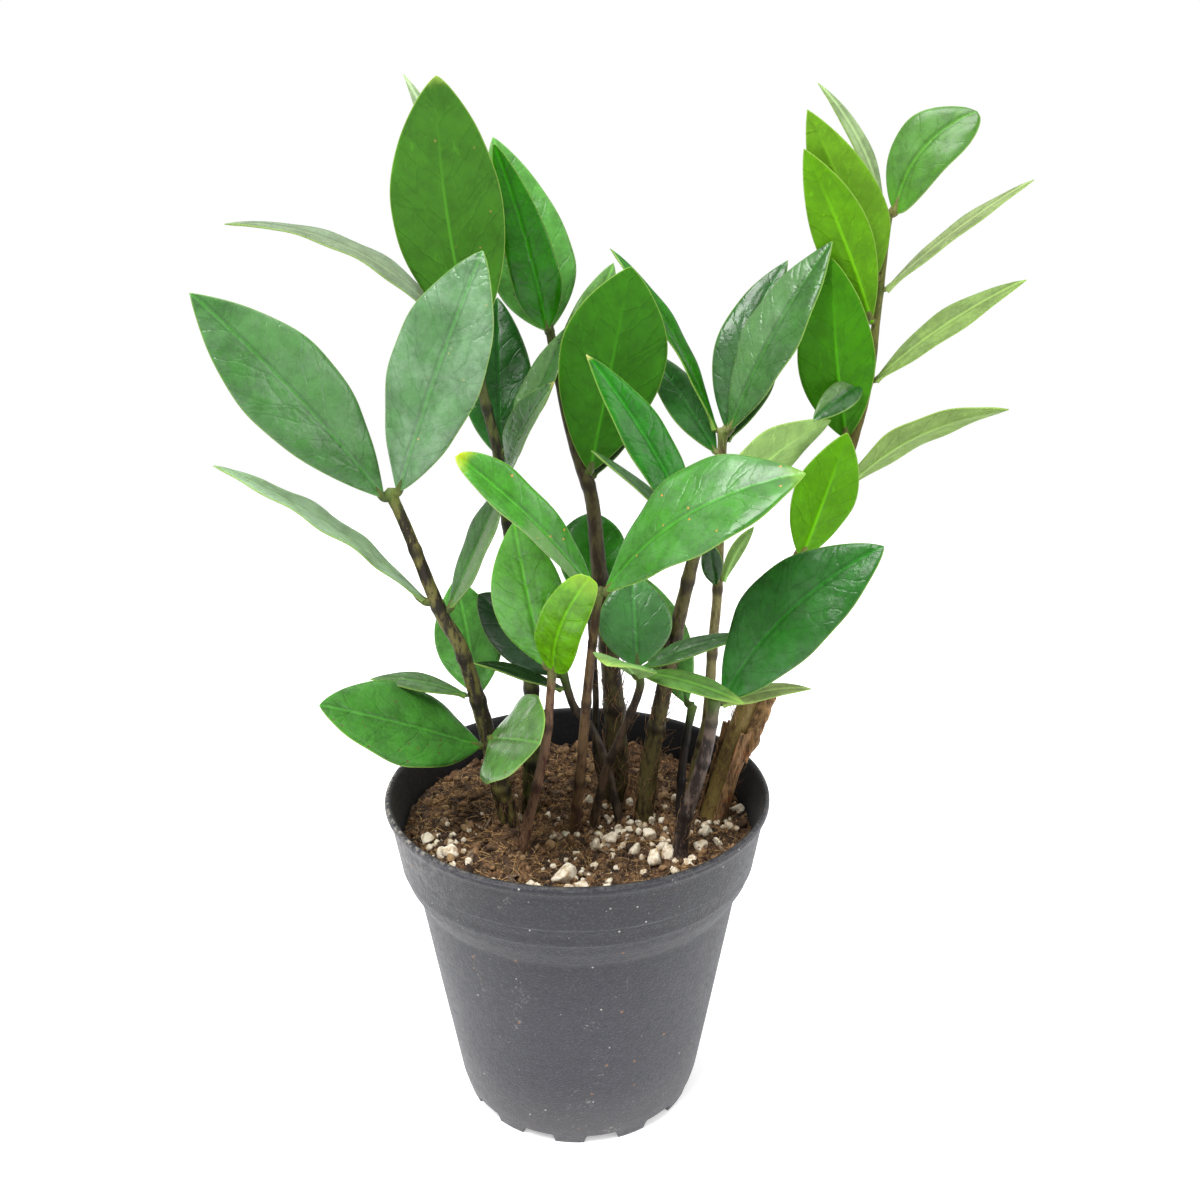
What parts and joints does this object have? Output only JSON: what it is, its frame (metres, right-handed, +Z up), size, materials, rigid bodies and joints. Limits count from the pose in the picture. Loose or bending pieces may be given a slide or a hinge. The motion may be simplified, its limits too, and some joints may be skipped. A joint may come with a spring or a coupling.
{
  "type": "potted zz plant",
  "caption": "Young upright ZZ plant with glossy leaflets on arching stems, growing from potting mix in a tapered round plastic nursery pot.",
  "frame": {"origin": "centre of the pot's base, on the surface it stands on", "axes": "+Z up, +X to the viewer's right and +Y away from the viewer, who looks at the side with the tall stem on the right"},
  "size_m": [0.1994, 0.108, 0.2783],
  "materials": {
    "pot_plastic": "matte charcoal moulded plastic, fine-grained, dusty at the rim",
    "potting_soil": "loose damp peat and coir fibre with pale grains",
    "stem_skin": "satin olive-brown skin mottled with dark bands",
    "dry_sheath": "dry, papery and fibrous",
    "leaf_green": "glossy waxy upper face, matte paler underside"
  },
  "bodies": {
    "root": {"pot": "pot_plastic", "soil": "potting_soil", "stem_a": "stem_skin", "stem_l": "stem_skin", "stem_k": "stem_skin", "stem_b": "stem_skin", "stem_c": "stem_skin", "stem_d": "stem_skin", "stem_e": "stem_skin", "stem_o": "stem_skin", "stem_h": "stem_skin", "stem_t": "stem_skin", "stem_f": "stem_skin", "stem_i": "stem_skin", "stem_j": "stem_skin", "sheath_j": "dry_sheath", "leaf_a1": "leaf_green", "leaf_a2": "leaf_green", "leaf_a3": "leaf_green", "leaf_a4": "leaf_green", "leaf_a5": "leaf_green", "leaf_a7": "leaf_green", "leaf_a8": "leaf_green", "leaf_l1": "leaf_green", "leaf_l2": "leaf_green", "leaf_l4": "leaf_green", "leaf_l5": "leaf_green", "leaf_l6": "leaf_green", "leaf_k1": "leaf_green", "leaf_m1": "leaf_green", "leaf_m2": "leaf_green", "leaf_o1": "leaf_green", "leaf_b1": "leaf_green", "leaf_b2": "leaf_green", "leaf_c1": "leaf_green", "leaf_c2": "leaf_green", "leaf_n1": "leaf_green", "leaf_d1": "leaf_green", "leaf_d2": "leaf_green", "leaf_d3": "leaf_green", "leaf_e1": "leaf_green", "leaf_e2": "leaf_green", "leaf_h1": "leaf_green", "leaf_h2": "leaf_green", "leaf_h3": "leaf_green", "leaf_f1": "leaf_green", "leaf_f2": "leaf_green", "leaf_f3": "leaf_green", "leaf_f4": "leaf_green", "leaf_i1": "leaf_green", "leaf_n2": "leaf_green", "leaf_j1": "leaf_green", "leaf_j2": "leaf_green", "leaf_j3": "leaf_green", "leaf_j4": "leaf_green", "leaf_j5": "leaf_green", "leaf_j6": "leaf_green", "leaf_j7": "leaf_green", "leaf_j8": "leaf_green", "leaf_j9": "leaf_green"}
  },
  "joints": []
}
